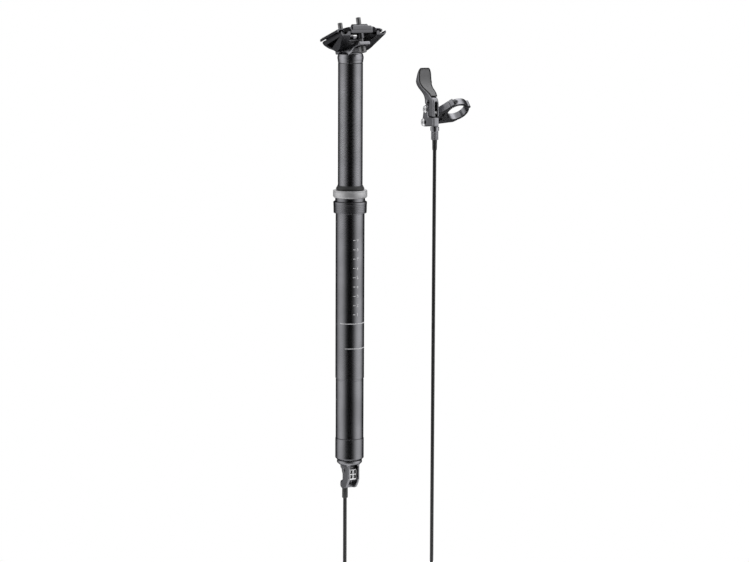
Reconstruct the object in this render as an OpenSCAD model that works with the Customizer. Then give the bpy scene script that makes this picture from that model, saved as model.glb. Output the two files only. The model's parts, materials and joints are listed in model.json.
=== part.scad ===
// Dropper seatpost with its thumb remote and the cable housing that joins them.
// +X is the rider's right, +Y forward, +Z up the post. The origin is on the post's axis,
// at the underside of the collar, where the post stops on the frame's seat tube.

/* [Outer tube] */
// Outside diameter that the frame's seat tube holds
tube_d = 30.9; // [29.8:0.1:34]
// Wall of the outer tube
tube_wall = 1.45; // [1.2:0.05:1.7]
// Full-diameter length below the collar
tube_reach = 178.7; // [165:0.1:200]
// Radial step from the tube to its tail
tail_step = 0.4; // [0.2:0.05:0.7]
// Length of the stepped tail
tail_len = 65.6; // [62:0.1:80]
// Height of the tube's top end inside the collar
tube_rise = 6; // [4:0.5:8]
// Radial step of the tube's threaded top end
thread_step = 0.2; // [0.1:0.05:0.4]

/* [Stanchion] */
// Drop of the saddle
travel = 125; // [75:5:125]
// Wall of the guide bushings
bushing_wall = 0.72; // [0.6:0.02:0.9]
// Length of each guide bushing
bushing_len = 22; // [15:1:26]
// Wall of the stanchion
stanchion_wall = 2; // [1.6:0.1:2.2]
// Height of the stanchion's top end
stanchion_top = 159.3; // [150:0.1:175]
// Depth of the stanchion's lower end at full height
stanchion_foot = 100; // [95:1:105]
// Width of the brass guide keys
key_w = 3; // [2:0.1:4]
// Length of the guide keys
key_len = 12; // [8:0.5:14]

/* [Seal stack] */
// Height of the black collar
collar_h = 12.6; // [11:0.1:16]
// Wall of the collar at its top
collar_wall = 2.75; // [2:0.05:4]
// Fine rings turned into the collar
collar_rings = 5; // [3:1:5]
// Height of the neck between the collar and the seal ring
neck_h = 4; // [3:0.1:6]
// Height of the bright seal ring
ring_h = 7.8; // [7:0.1:10]
// Wall of the seal ring
ring_wall = 3; // [2:0.1:4]
// Height of the wiper above the seal ring
wiper_h = 5.1; // [4:0.1:7]

/* [Cartridge] */
// Radial room between the cartridge and the stanchion
cartridge_gap = 1.7; // [1.2:0.1:2.2]
// Wall of the cartridge
cartridge_wall = 1.5; // [1:0.1:2]
// Diameter of the piston rod
rod_d = 8; // [7:0.5:9]
// Height of the rod's anchor in the stanchion
anchor_z = 72; // [70:1:90]
// Thickness of the rod's anchor
anchor_h = 10; // [8:0.5:14]
// Height of the piston
piston_h = 10; // [8:0.5:12]
// Height of the end cap below the tail
cap_h = 23.8; // [22:0.1:27]
// Diameter of the stud that holds the actuator
stud_d = 12; // [11:0.5:13]
// Diameter of the valve pin
valve_d = 3; // [2.5:0.1:3.5]

/* [Saddle clamp] */
// Distance between the saddle rails
rail_gap = 44; // [43:0.5:46]
// Diameter of a saddle rail
rail_d = 7; // [6.8:0.1:7.4]
// Height at which the rails cross the post's axis
rail_z = 186.3; // [185.5:0.1:190]
// Lean of the clamp against the post, forward end down
clamp_lean = 17; // [14:0.5:19]
// Length of the upper clamp's channels ahead of the crossing
channel_front = 18.5; // [16:0.5:20]
// Length of the cradle's channels ahead of the crossing
cradle_front = 14; // [12:0.5:18]
// Length of the cradle's channels behind the crossing
channel_rear = 30.5; // [28:0.5:32]
// Length of the upper clamp's channels behind the crossing
cap_rear = 22.5; // [20:0.5:26]
// Front bolt's distance ahead of the crossing
front_bolt_y = 19.4; // [19:0.1:21]
// Rear bolt's distance behind the crossing
rear_bolt_y = 22.3; // [22:0.1:24]
// Diameter of the clamp bolts
bolt_d = 5; // [4.6:0.1:5.4]
// Radius of the curved seat that sets the saddle's angle
seat_r = 18; // [17.6:0.1:18.4]
// Gap between the clamp halves
clamp_gap = 1.2; // [0.8:0.1:1.6]

/* [Actuator] */
// Diameter of the actuator's base
base_d = 27.3; // [26:0.1:29]
// Thickness of the actuator's base
base_h = 3.3; // [3:0.1:5]
// Depth of the cam's pivot below the base
cam_drop = 8.8; // [8.6:0.1:9.4]
// Cable's distance ahead of the post's axis
cable_y = 10.3; // [10:0.1:10.6]
// Width of the cam lever
cam_w = 8.4; // [7.6:0.1:9]
// Thickness of the bracket's cheeks
cheek_t = 2.05; // [1.6:0.05:2.6]

/* [Remote] */
// Cable axis of the remote, to the rider's right of the post
remote_x = 103; // [95:1:120]
// Width of the remote's body and lever
lever_w = 7; // [6.4:0.1:8]
// Width of the thumb paddle
paddle_w = 14; // [12:0.5:16]
// Diameter of the handlebar
bar_d = 22.2; // [22:0.1:22.4]
// Width of the bar clamp
band_w = 8; // [7:0.5:10]
// Wall of the bar clamp
band_wall = 2.9; // [2.6:0.1:3.2]
// Diameter of the barrel adjuster
barrel_d = 8; // [7.5:0.1:9]
// Thickness of the thumb pad
pad_t = 1; // [0.6:0.1:1.4]

/* [Cable] */
// Diameter of the cable housing
housing_d = 4; // [3.6:0.1:4.2]
// Diameter of the inner wire
wire_d = 1.6; // [1.2:0.1:1.8]
// Loops of the put-away coil, in each of its two layers
coil_loops = 3.25; // [2.25:1:4.25]
// Mean radius of the coil's loops
coil_r = 24; // [23:0.5:26]
// Step from one loop to the next
coil_step = 4.7; // [4.6:0.1:5]

/* [Hidden] */
$fn = 64;

// Fits: sliding pairs, seated pieces and faces that only pass each other
slide_fit = 0.05;
seat_fit = 0.03;
pass_fit = 0.3;

// Colours
black = "#1d1d1f";
satin_black = "#2a2a2d";
silver = "#b9babd";
steel = "#9a9da1";
rubber = "#141415";
brass = "#b08d4a";
guide_grey = "#55585c";

// Radii of the telescoping tubes
tube_r = tube_d / 2;
bore_r = tube_r - tube_wall;
tail_r = tube_r - tail_step;
stanchion_r = bore_r - seat_fit - bushing_wall - slide_fit;
stanchion_bore_r = stanchion_r - stanchion_wall;
tail_z = -tube_reach - tail_len;

// Seal stack from the collar up
thread_r = tube_r - thread_step;
collar_bore_r = thread_r + slide_fit;
collar_r = collar_bore_r + collar_wall;
collar_foot_r = collar_r - 0.35;
ring_z = collar_h + neck_h;
ring_top = ring_z + ring_h;
ring_r = collar_bore_r + ring_wall;
ring_lip = 2.4;
housing_top = ring_z + 2.3;
wiper_top = ring_top + wiper_h;
wiper_r = stanchion_r + slide_fit;
foam_z = collar_h;
foam_h = 3;

// Guide keys and their keyways
keys = 3;
bushing_foot = -stanchion_foot;
key_z = bushing_foot + bushing_len + 2;
key_sink = 0.9;
key_out = 0.4;

// Cartridge, rod and end cap
cartridge_r = stanchion_bore_r - cartridge_gap;
chamber_r = cartridge_r - cartridge_wall;
rod_r = rod_d / 2;
rod_end_r = rod_r - 1;
gland_top = anchor_z - travel - 3;
gland_flange = 4;
gland_len = 10;
gland_seal_h = 1.6;
cartridge_top = gland_top - gland_seal_h - gland_flange;
piston_top = cartridge_top - gland_len - 8;
cap_z = tail_z - cap_h;
cap_r = tail_r + 0.35;
cap_floor = 6;
cap_spigot = 8;
cartridge_z = cap_z + cap_floor;
chamber_z = cartridge_z + 12;
stud_r = stud_d / 2;
base_z = cap_z - 0.1 - base_h;
base_chamfer = 2.6;
stud_z = base_z - base_chamfer;
anchor_nut_h = 5;
snap_t = 1.2;

// Head and saddle clamp, in the clamp's own leaning frame
rail_r = rail_d / 2;
rail_x = rail_gap / 2;
channel_x = rail_x + rail_r + 0.9;
half_gap = clamp_gap / 2;
seat_y = -1;
seat_n = 6;
seat_gap = 0.25;
bolt_r = bolt_d / 2;
tilt_room = 2.6;
ear_w = 13.5;
front_ear_top = -6.4;
front_ear_under = -11.5;
rear_ear_top = -10.5;
rear_ear_under = -15.4;
floor_rear = -8.5;
floor_front = 6.5;
floor_n = -8.5;
wing_foot = -14.4;
wing_inner_x = 11.5;
washer_gap = 0.65;
rear_washer_t = 1.2;
front_washer_t = 1.2;
washer_r = bolt_r + 1.6;
bolt_head_h = 4.4;
bolt_head_r = bolt_r + 1.6;
front_bolt_top = 20.5;
rear_bolt_top = 15.7;
nut_r = 4;
nut_n = 4.7;
nut_len = 17;
boss_r = nut_r + 2.2;
boss_under = -1.8;
sleeve_r = bolt_r + 1.5;
sleeve_foot = -7;
arm_r = 5;
arm_n = 1.2;
head_w = 21;
neck_r = stanchion_r + 0.8;
neck_z = stanchion_top + 6.5;
spigot_len = 22;

// Actuator under the post
cam_z = base_z - cam_drop;
cam_pin_r = 1.5;
cheek_x = cam_w / 2 + 0.6;
valve_r = valve_d / 2;
valve_show = 1.8;
cam_lift = 1.5;
cam_swing = 28;
cam_gap = 0.25;
valve_tip_z = stud_z - valve_show;
cam_r = valve_tip_z - cam_z - cam_gap;
stop_top = cam_z - 13.5;
stop_z = stop_top - 7.2;
stop_r = 4.8;
ferrule_r = 3.1;
ferrule_spigot_r = 2.4;
ferrule_spigot_len = 5;
ferrule_len = 12.3;
wire_r = wire_d / 2;
wire_bore_r = wire_r + 0.3;
cam_nipple_r = 1.6;
cam_tip_r = 3.2;
cam_tip = [cable_y, cam_z + cable_y * tan(cam_swing / 2)];
ferrule_z = stop_z - ferrule_len;

// Remote: heights of its pieces and the centres of its round features, as [forward, up]
body_z = 88;
body_top = 98;
body_rear = -3.2;
seam = 0.4;
pivot = [14, 105.8];
mount_at = [18.1, 91.4];
screw_at = [10, 113.2];
pivot_r = 2.5;
ear_r = 5.4;
tongue_w = 3.2;
head_r = 4.1;
head_t = 2.1;
mount_r = 2.4;
screw_r = 2.2;
wire_anchor = [0, 103.1];
anchor_pin_r = 2.2;
anchor_pin_len = 4.4;
stem_r = 2.2;
barrel_r = barrel_d / 2;
flange_r = barrel_r + 0.75;
flange_h = 4.1;
barrel_h = 9.8;
barrel_z = body_z - pass_fit - flange_h - barrel_h;
boot_r = 2.7;
boot_len = 11.4;
boot_z = barrel_z - boot_len;
boot_spigot_r = 1.9;
boot_spigot_len = 5;

// Bar clamp: its plane leans by band_lean, with p to the right and q up and rearward in it
band_lean = 45;
band_at = [25.9, 0, 105.5];
band_bore_r = bar_d / 2;
band_r = band_bore_r + band_wall;
cap_to = 139;
lug_r = 2.3;
lug_at = band_bore_r + 2.4;
clamp_bolt_r = 1.5;
clamp_head_r = 2.3;
clamp_head_h = 2.2;
clamp_seat = 4.6;
hinge_r = 1.2;
hinge_at = band_bore_r + 2.7;
hinge_angle = 34;
knuckle = 2.8;
arm_root_t = 3.4;

// Cable route: hand-chosen points down from each end to the coil's two ends
coil_centre = [51.5, 4, -444];
coil_half_width = coil_loops * coil_step / 2;
coil_out_r = coil_r + coil_half_width;
coil_side = (housing_d + 0.7) / 2;
coil_lead = housing_d;
post_run_points = [
    [0, cable_y, ferrule_z], [0, cable_y, -330], [0, cable_y, -350], [0, cable_y, -372],
    [0, cable_y, -394], [0.5, 9.7, -401], [2.5, 8.4, -408], [6, 6.6, -415], [10.2, 4.8, -421],
    [14, 3.2, -427], [17.5, 2.1, -433], [19.4, 1.7, -438]
];
remote_run_points = [
    [remote_x, 0, boot_z], [remote_x, 0, 40], [remote_x, 0, 0], [remote_x, 0, -60], [remote_x, 0, -120],
    [remote_x, 0, -180], [remote_x, 0, -240], [remote_x, 0, -300], [remote_x, 0, -350],
    [remote_x, 0, -394], [102.5, 0.4, -401], [100.5, 1.4, -408], [97, 2.8, -415], [92.8, 4.2, -421],
    [89, 5.4, -427], [85.5, 6.1, -433], [83.6, 6.35, -438]
];

// Helpers

module turned(points) {
    rotate_extrude() polygon(points);
}

module pipe(outer, inner, z0, z1) {
    difference() {
        translate([0, 0, z0]) cylinder(r = outer, h = z1 - z0);
        translate([0, 0, z0 - 1]) cylinder(r = inner, h = z1 - z0 + 2);
    }
}

module rod(radius, z0, z1) {
    translate([0, 0, z0]) cylinder(r = radius, h = z1 - z0);
}

// A flat shape drawn as [forward, up], given a width across X
module across(width) {
    rotate([90, 0, 90]) translate([0, 0, -width / 2]) linear_extrude(width) children();
}

// A flat shape drawn as [right, up], given a length along Y from y0 to y1
module along(y0, y1) {
    translate([0, y1, 0]) rotate([90, 0, 0]) linear_extrude(y1 - y0) children();
}

// A pin lying along X, centred on a [forward, up] place
module cross_pin(place, radius, x0, x1) {
    translate([x0, place[0], place[1]]) rotate([0, 90, 0]) cylinder(r = radius, h = x1 - x0);
}

module slot_2d(length, radius) {
    square([length, 2 * radius], center = true);
    for (side = [-1, 1]) translate([side * length / 2, 0]) circle(radius);
}

module clamp_frame() {
    translate([0, 0, rail_z]) rotate([-clamp_lean, 0, 0]) children();
}

module remote_frame() {
    translate([remote_x, 0, 0]) children();
}

// The bar clamp's plane: x is p, y is q and z runs along the bar, away from the rider's thumb
module band_frame() {
    remote_frame() translate(band_at) rotate([90 + band_lean, 0, 0]) children();
}

module wedge_2d(from, to, reach) {
    steps = 8;
    turn = (to - from) / steps;
    polygon(concat([[0, 0]], [for (k = [0:steps]) reach * [cos(from + k * turn), sin(from + k * turn)]]));
}

// Outer tube and seal stack

module outer_tube() {
    relief = 0.25;
    color(black) difference() {
        turned([
            [bore_r, tail_z], [tail_r - 0.4, tail_z], [tail_r, tail_z + 0.4],
            [tail_r, -tube_reach - 1.6], [tail_r - relief, -tube_reach - 1.4],
            [tail_r - relief, -tube_reach], [tube_r - 0.3, -tube_reach], [tube_r, -tube_reach + 0.3],
            [tube_r, 0], [thread_r, 0], [thread_r, tube_rise], [bore_r, tube_rise]
        ]);
        keyways();
    }
}

module keyways() {
    top = key_z + key_len + 8;
    foot = key_z - travel - 4;
    side_fit = 0.1;
    for (k = [0:keys - 1]) rotate([0, 0, 90 + 360 / keys * k])
        translate([0, -key_w / 2 - side_fit, foot])
            cube([bore_r + key_out, key_w + 2 * side_fit, top - foot]);
}

function collar_r_at(z) = collar_foot_r + (collar_r - collar_foot_r) * z / collar_h;

function collar_ring(z) = [
    [collar_r_at(z), z], [collar_r_at(z) - 0.2, z + 0.15],
    [collar_r_at(z) - 0.2, z + 0.45], [collar_r_at(z), z + 0.6]
];

module collar() {
    pitch = (collar_h - 3) / collar_rings;
    color(black) turned(concat(
        [[collar_bore_r, 0], [collar_foot_r - 0.4, 0], [collar_foot_r, 0.4]],
        [for (k = [0:collar_rings - 1]) each collar_ring(1.4 + k * pitch)],
        [[collar_r, collar_h - 1.2], [collar_r - 0.35, collar_h - 0.35], [collar_r - 1.2, collar_h],
         [collar_bore_r, collar_h]]
    ));
}

module seal_housing() {
    foam_r = bore_r + 0.5;
    color(satin_black) turned([
        [wiper_r + 0.3, tube_rise], [thread_r, tube_rise], [thread_r, collar_h], [tube_r + 0.55, collar_h],
        [tube_r + 0.55, ring_z], [thread_r, ring_z], [thread_r, housing_top], [wiper_r + 0.3, housing_top],
        [wiper_r + 0.3, foam_z + foam_h], [foam_r, foam_z + foam_h], [foam_r, foam_z],
        [wiper_r + 0.3, foam_z]
    ]);
}

module foam_ring() {
    color(guide_grey) pipe(bore_r + 0.5 - seat_fit, wiper_r, foam_z + seat_fit, foam_z + foam_h - seat_fit);
}

module seal_ring() {
    lip_r = bore_r + 0.2;
    color(silver) turned([
        [collar_bore_r, ring_z], [ring_r - 0.8, ring_z], [ring_r, ring_z + 1.3],
        [ring_r, ring_top - 1.5], [ring_r - 0.3, ring_top - 1.35], [ring_r - 0.3, ring_top - 1.05],
        [ring_r, ring_top - 0.9], [ring_r, ring_top - 0.3], [ring_r - 0.3, ring_top],
        [lip_r, ring_top], [lip_r, ring_top - ring_lip], [collar_bore_r, ring_top - ring_lip]
    ]);
}

module wiper_seal() {
    flange_top = ring_top - ring_lip - seat_fit;
    stem = bore_r + 0.1;
    head_z = ring_top + 0.9;
    color(rubber) turned([
        [wiper_r + 0.35, housing_top + seat_fit], [tube_r - 0.2, housing_top + seat_fit],
        [tube_r - 0.2, flange_top], [stem, flange_top], [stem, head_z], [stem + 1, head_z],
        [stem + 1, head_z + 1.2], [wiper_r + 0.25, wiper_top], [wiper_r, wiper_top],
        [wiper_r, wiper_top - 2], [wiper_r + 0.35, wiper_top - 3]
    ]);
}

module upper_bushing() {
    top = tube_rise - seat_fit;
    color(guide_grey) pipe(bore_r - seat_fit, stanchion_r + slide_fit, top - bushing_len, top);
}

// Stanchion and what slides with it

module stanchion() {
    groove_z = anchor_z + anchor_h + seat_fit;
    color(black) difference() {
        turned([
            [stanchion_bore_r, -stanchion_foot], [stanchion_r - 0.5, -stanchion_foot],
            [stanchion_r, -stanchion_foot + 0.5], [stanchion_r, stanchion_top],
            [stanchion_bore_r, stanchion_top], [stanchion_bore_r, groove_z + snap_t + 0.1],
            [stanchion_bore_r + 0.7, groove_z + snap_t + 0.1], [stanchion_bore_r + 0.7, groove_z],
            [stanchion_bore_r, groove_z]
        ]);
        key_pockets();
    }
}

module key_pockets() {
    for (k = [0:keys - 1]) rotate([0, 0, 90 + 360 / keys * k])
        translate([stanchion_r - key_sink, -key_w / 2 - seat_fit, key_z - seat_fit])
            cube([key_sink + 5, key_w + 2 * seat_fit, key_len + 2 * seat_fit]);
}

module guide_keys() {
    reach = bore_r + key_out - 0.08;
    color(brass) for (k = [0:keys - 1]) rotate([0, 0, 90 + 360 / keys * k])
        translate([stanchion_r - key_sink + seat_fit, -key_w / 2, key_z])
            cube([reach - stanchion_r + key_sink - seat_fit, key_w, key_len]);
}

module lower_bushing() {
    color(guide_grey)
        pipe(bore_r - slide_fit, stanchion_r + seat_fit, bushing_foot + 1, bushing_foot + bushing_len);
}

module piston_rod() {
    end_z = anchor_z + anchor_h + anchor_nut_h + 2;
    color(steel) turned([
        [0, piston_top - piston_h], [rod_end_r, piston_top - piston_h], [rod_end_r, piston_top],
        [rod_r, piston_top], [rod_r, anchor_z], [rod_end_r, anchor_z], [rod_end_r, end_z - 0.6],
        [rod_end_r - 0.6, end_z], [0, end_z]
    ]);
}

module piston() {
    outer = chamber_r - slide_fit;
    foot = piston_top - piston_h;
    groove_z = foot + 3.2;
    groove_h = 2.4;
    color(steel) turned([
        [rod_end_r + seat_fit, foot], [outer - 0.5, foot], [outer, foot + 0.5], [outer, groove_z],
        [outer - 1.1, groove_z], [outer - 1.1, groove_z + groove_h], [outer, groove_z + groove_h],
        [outer, piston_top - seat_fit], [rod_end_r + seat_fit, piston_top - seat_fit]
    ]);
}

module piston_seal() {
    outer = chamber_r - slide_fit;
    foot = piston_top - piston_h + 3.2;
    color(rubber) pipe(chamber_r - 0.02, outer - 1.1 + seat_fit, foot + seat_fit, foot + 2.4 - seat_fit);
}

module rod_anchor() {
    outer = stanchion_bore_r - seat_fit;
    ports = 4;
    color(steel) difference() {
        turned([
            [rod_end_r + seat_fit, anchor_z], [outer - 0.8, anchor_z], [outer, anchor_z + 0.8],
            [outer, anchor_z + anchor_h], [rod_end_r + seat_fit, anchor_z + anchor_h]
        ]);
        for (k = [0:ports - 1]) rotate([0, 0, 45 + 360 / ports * k])
            translate([(rod_r + outer) / 2 + 1, 0, anchor_z - 1]) cylinder(r = 1.2, h = anchor_h + 2);
    }
}

module anchor_nut() {
    flat = rod_end_r * 2 + 4;
    z0 = anchor_z + anchor_h + seat_fit;
    color(steel) difference() {
        translate([0, 0, z0]) cylinder(d = flat / cos(30), h = anchor_nut_h, $fn = 6);
        rod(rod_end_r + seat_fit, z0 - 1, z0 + anchor_nut_h + 1);
    }
}

module snap_ring() {
    z0 = anchor_z + anchor_h + 2 * seat_fit;
    mouth = 6;
    color(steel) difference() {
        pipe(stanchion_bore_r + 0.6, stanchion_bore_r - 1.2, z0, z0 + snap_t);
        translate([-mouth / 2, 0, z0 - 1]) cube([mouth, stanchion_bore_r + 2, snap_t + 2]);
    }
}

// Cartridge and end cap

module end_cap() {
    chamfer = 2;
    spigot_r = bore_r - slide_fit;
    color(black) turned([
        [stud_r + slide_fit, cap_z], [cap_r - chamfer, cap_z], [cap_r, cap_z + chamfer],
        [cap_r, tail_z - 0.4], [cap_r - 0.4, tail_z], [spigot_r, tail_z], [spigot_r, tail_z + cap_spigot],
        [cartridge_r + slide_fit, tail_z + cap_spigot], [cartridge_r + slide_fit, cartridge_z],
        [stud_r + slide_fit, cartridge_z]
    ]);
}

module cartridge_body() {
    color(steel) turned([
        [valve_r + slide_fit, stud_z], [stud_r - 0.6, stud_z], [stud_r, stud_z + 0.6],
        [stud_r, cartridge_z], [cartridge_r, cartridge_z], [cartridge_r, cartridge_top],
        [chamber_r, cartridge_top], [chamber_r, chamber_z], [valve_r + slide_fit, chamber_z]
    ]);
}

module cartridge_gland() {
    foot = cartridge_top - gland_len;
    color(satin_black) turned([
        [rod_r + slide_fit, foot], [chamber_r - seat_fit, foot], [chamber_r - seat_fit, cartridge_top],
        [cartridge_r, cartridge_top], [cartridge_r, cartridge_top + gland_flange - 0.5],
        [cartridge_r - 0.5, cartridge_top + gland_flange], [rod_r + slide_fit, cartridge_top + gland_flange]
    ]);
}

module gland_seal() {
    z0 = cartridge_top + gland_flange;
    color(rubber) turned([
        [rod_r + slide_fit, z0], [rod_r + 2.4, z0], [rod_r + 2.4, z0 + 0.8],
        [rod_r + 0.5, z0 + gland_seal_h], [rod_r + slide_fit, z0 + gland_seal_h]
    ]);
}

module valve_pin() {
    color(steel) {
        rod(valve_r, valve_tip_z + valve_r, chamber_z - 1);
        translate([0, 0, valve_tip_z + valve_r]) sphere(valve_r);
    }
}

// Actuator

module actuator_bracket() {
    color(satin_black) difference() {
        union() {
            turned([
                [stud_r + slide_fit, stud_z], [base_d / 2 - 3.2, stud_z], [base_d / 2, base_z],
                [base_d / 2, base_z + base_h], [stud_r + slide_fit, base_z + base_h]
            ]);
            for (side = [-1, 1]) translate([side * (cheek_x + cheek_t / 2), 0, 0])
                across(cheek_t) cheek_2d();
            stop_bridge();
        }
        rod(stud_r + slide_fit, stud_z - slide_fit, base_z + base_h + 1);
        cross_pin([0, cam_z], cam_pin_r + seat_fit, -20, 20);
        translate([0, cable_y, 0]) {
            rod(wire_bore_r, stop_z - 1, stop_top + 1);
            rod(ferrule_spigot_r + seat_fit, stop_z - 1, stop_z + ferrule_spigot_len + seat_fit);
        }
    }
}

// Side outline of a cheek: round at the pivot, waisted below it, rounded off at the rear
module cheek_2d() {
    rear = -10.8;
    front = cable_y - 1.3;
    polygon([
        [rear, base_z + 1], [rear, stop_top + 4.6], [rear + 1.6, stop_top + 0.8],
        [rear + 5.4, stop_z + 2.6], [0, stop_z + 0.4], [front - 3, stop_z], [front, stop_z + 2],
        [front, stop_top], [5.2, stop_top + 1.2], [3.6, stop_top + 4],
        [3.8, cam_z - 4.2], [5.6, cam_z - 1.8], [5.8, cam_z + 1.6], [4.8, base_z + 1]
    ]);
}

module stop_bridge() {
    width = 2 * (cheek_x + cheek_t);
    front = cable_y - 1.3;
    across(width) polygon([
        [3.4, stop_z], [front - 3, stop_z], [front, stop_z + 2], [front, stop_top], [6, stop_top],
        [3.4, stop_top - 2.6]
    ]);
    translate([0, cable_y, 0]) rod(stop_r, stop_z, stop_top);
}

module cam_pin() {
    half = cheek_x + cheek_t + 0.4;
    color(steel) cross_pin([0, cam_z], cam_pin_r, -half, half);
}

// Cam lever: rising cam under the valve pin, ribbed plate behind, fork that the wire pulls in front
module cam_lever() {
    fork = 3;
    color(silver) difference() {
        union() {
            across(cam_w) cam_2d();
            across(cam_w) cam_arm_2d();
            across(cam_w) cam_plate_2d();
        }
        cross_pin([0, cam_z], cam_pin_r + slide_fit, -20, 20);
        translate([-fork / 2, cable_y - 2, cam_z - 8]) cube([fork, 20, 20]);
        cross_pin(cam_tip, cam_nipple_r + 0.5, -cam_w, cam_w);
        plate_pockets();
    }
}

// Cam: its radius grows toward the rear, so that turning the lever lifts the pin
module cam_2d() {
    steps = 12;
    back = 50;
    front = 40;
    translate([0, cam_z]) polygon(concat(
        [for (k = [0:steps]) let (turn = back - (back + front) * k / steps)
            (cam_r + cam_lift * max(-12, min(turn, cam_swing + 3)) / cam_swing) * [-sin(turn), cos(turn)]],
        [[3.6, -1.5], [0, -3.6], [-3.6, -1.5]]
    ));
}

module cam_arm_2d() {
    polygon([[0, cam_z - 3.4], cam_tip - [0, cam_tip_r], cam_tip + [0, cam_tip_r], [1, cam_z + 3]]);
    translate(cam_tip) circle(cam_tip_r);
}

module cam_plate_2d() {
    translate([0, cam_z]) polygon([
        [-1, 3], [-6.4, 2.8], [-8.2, 1.8], [-8.2, -9], [-6.2, -10], [-5, -4], [-1, -3.4]
    ]);
}

module plate_pockets() {
    depth = 1.8;
    rib = 1;
    rim = 0.7;
    pocket_w = (cam_w - rib - 2 * rim) / 2;
    pocket_h = 4;
    for (side = [-1, 1], row = [0, 1])
        translate([side * (rib + pocket_w) / 2, -8.2, cam_z - 0.8 - row * (pocket_h + rib)])
            cube([pocket_w, 2 * depth, pocket_h], center = true);
}

module cam_wire() {
    foot = stop_z + ferrule_spigot_len + 0.5;
    color(steel) {
        translate([0, cable_y, 0]) rod(wire_r, foot, cam_tip[1]);
        cross_pin(cam_tip, cam_nipple_r, -cam_w / 2 + 0.4, cam_w / 2 - 0.4);
    }
}

module housing_ferrule() {
    color(rubber) translate([0, cable_y, 0]) turned([
        [wire_bore_r, ferrule_z], [ferrule_r - 0.3, ferrule_z], [ferrule_r, ferrule_z + 0.6],
        [ferrule_r, stop_z - seat_fit], [ferrule_spigot_r, stop_z - seat_fit],
        [ferrule_spigot_r, stop_z + ferrule_spigot_len], [wire_bore_r, stop_z + ferrule_spigot_len]
    ]);
}

// Head and saddle clamp

module saddle_head() {
    color(black) difference() {
        union() {
            head_neck();
            clamp_frame() intersection() {
                across(head_w) head_2d();
                translate([0, 0, -60]) linear_extrude(120) seat_plan_2d();
            }
            clamp_frame() across(ear_w) head_2d();
        }
        clamp_frame() {
            cross_pin([seat_y, seat_n], seat_r + seat_gap, -20, 20);
            bolt_slot(front_bolt_y, front_ear_under - 1);
            bolt_slot(-rear_bolt_y, rear_ear_under - 1);
            front_pocket();
        }
    }
}

// Wide middle of the forging under the seat, drawn in to the rear arm
module seat_plan_2d() {
    arm = ear_w / 2;
    polygon([
        [-arm, 12], [arm, 12], [head_w / 2, 6], [head_w / 2, 1], [arm + 1, -5], [arm, -10], [-arm, -10],
        [-arm - 1, -5], [-head_w / 2, 1], [-head_w / 2, 6]
    ]);
}

module head_neck() {
    spigot_r = stanchion_bore_r - seat_fit;
    turned([
        [0, stanchion_top - spigot_len], [spigot_r - 1, stanchion_top - spigot_len],
        [spigot_r, stanchion_top - spigot_len + 1], [spigot_r, stanchion_top], [stanchion_r, stanchion_top],
        [stanchion_r + 0.3, stanchion_top + 3], [neck_r - 0.15, neck_z - 2], [neck_r, neck_z],
        [neck_r - 0.9, neck_z + 3.4], [head_w / 2, neck_z + 5.6], [0, neck_z + 5.6]
    ]);
}

// Side outline of the forging: a high front ear, and a long rear arm that ends in a lower ear
module head_2d() {
    front_end = front_bolt_y + 7.2;
    rear_end = -rear_bolt_y - 7.2;
    polygon([
        [rear_end + 1.5, rear_ear_top], [rear_end, rear_ear_top - 1.5], [rear_end, rear_ear_under + 1.2],
        [rear_end + 1.2, rear_ear_under], [-15.5, rear_ear_under], [-11, rear_ear_under - 1.6],
        [-6, rear_ear_under - 4], [-3, -24], [12, -21], [15, front_ear_under - 3.5],
        [17.5, front_ear_under - 1], [front_end - 1, front_ear_under - 1], [front_end, front_ear_under],
        [front_end, front_ear_top - 1], [front_end - 1, front_ear_top], [12, front_ear_top],
        [10, rear_ear_top]
    ]);
}

module bolt_slot(y, foot) {
    translate([0, y, foot]) linear_extrude(30) rotate([0, 0, 90]) slot_2d(2 * tilt_room, bolt_r + pass_fit);
}

// Scallop in the front of the neck for the front bolt's head
module front_pocket() {
    depth = 9;
    room = washer_r + 0.5;
    translate([0, front_bolt_y, front_ear_under - depth]) linear_extrude(depth)
        rotate([0, 0, 90]) slot_2d(2 * tilt_room, room);
    translate([-room, front_bolt_y, front_ear_under - depth]) cube([2 * room, 20, depth]);
}

module lower_cradle() {
    color(black) clamp_frame() difference() {
        union() {
            intersection() {
                along(-channel_rear, cradle_front) cradle_front_2d();
                across(2 * channel_x + 2) cradle_side_2d();
            }
            across(2 * wing_inner_x + 1) floor_2d();
        }
        rail_channels();
        for (side = [0, 1]) mirror([side, 0, 0]) wing_pocket();
    }
}

// Outline seen along the rails: channels on wings that slant down and in on both sides of the forging
module cradle_front_2d() {
    lip = 4.2;
    foot_x = wing_inner_x + 6.5;
    inner_x = rail_x - rail_r - 3;
    difference() {
        polygon([
            [-channel_x, -half_gap], [channel_x, -half_gap], [channel_x + 0.4, -half_gap - 2],
            [channel_x - 1.2, -half_gap - lip], [foot_x, wing_foot], [-foot_x, wing_foot],
            [-channel_x + 1.2, -half_gap - lip], [-channel_x - 0.4, -half_gap - 2]
        ]);
        polygon([
            [-inner_x, 1], [inner_x, 1], [inner_x, -5], [wing_inner_x, -9.5], [wing_inner_x, -30],
            [-wing_inner_x, -30], [-wing_inner_x, -9.5], [-inner_x, -5]
        ]);
    }
}

// Outline seen from the side: the wings taper from their feet over the neck to the rear ends of the channels
module cradle_side_2d() {
    polygon([
        [cradle_front, -half_gap], [cradle_front, -half_gap - 4.2], [cradle_front - 3.5, wing_foot + 5.4],
        [cradle_front - 8.5, wing_foot + 2.4], [cradle_front - 11, wing_foot],
        [cradle_front - 15.5, wing_foot], [floor_rear + 1.5, wing_foot + 0.8],
        [-channel_rear + 1, -half_gap - 4], [-channel_rear, -half_gap]
    ]);
}

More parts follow.
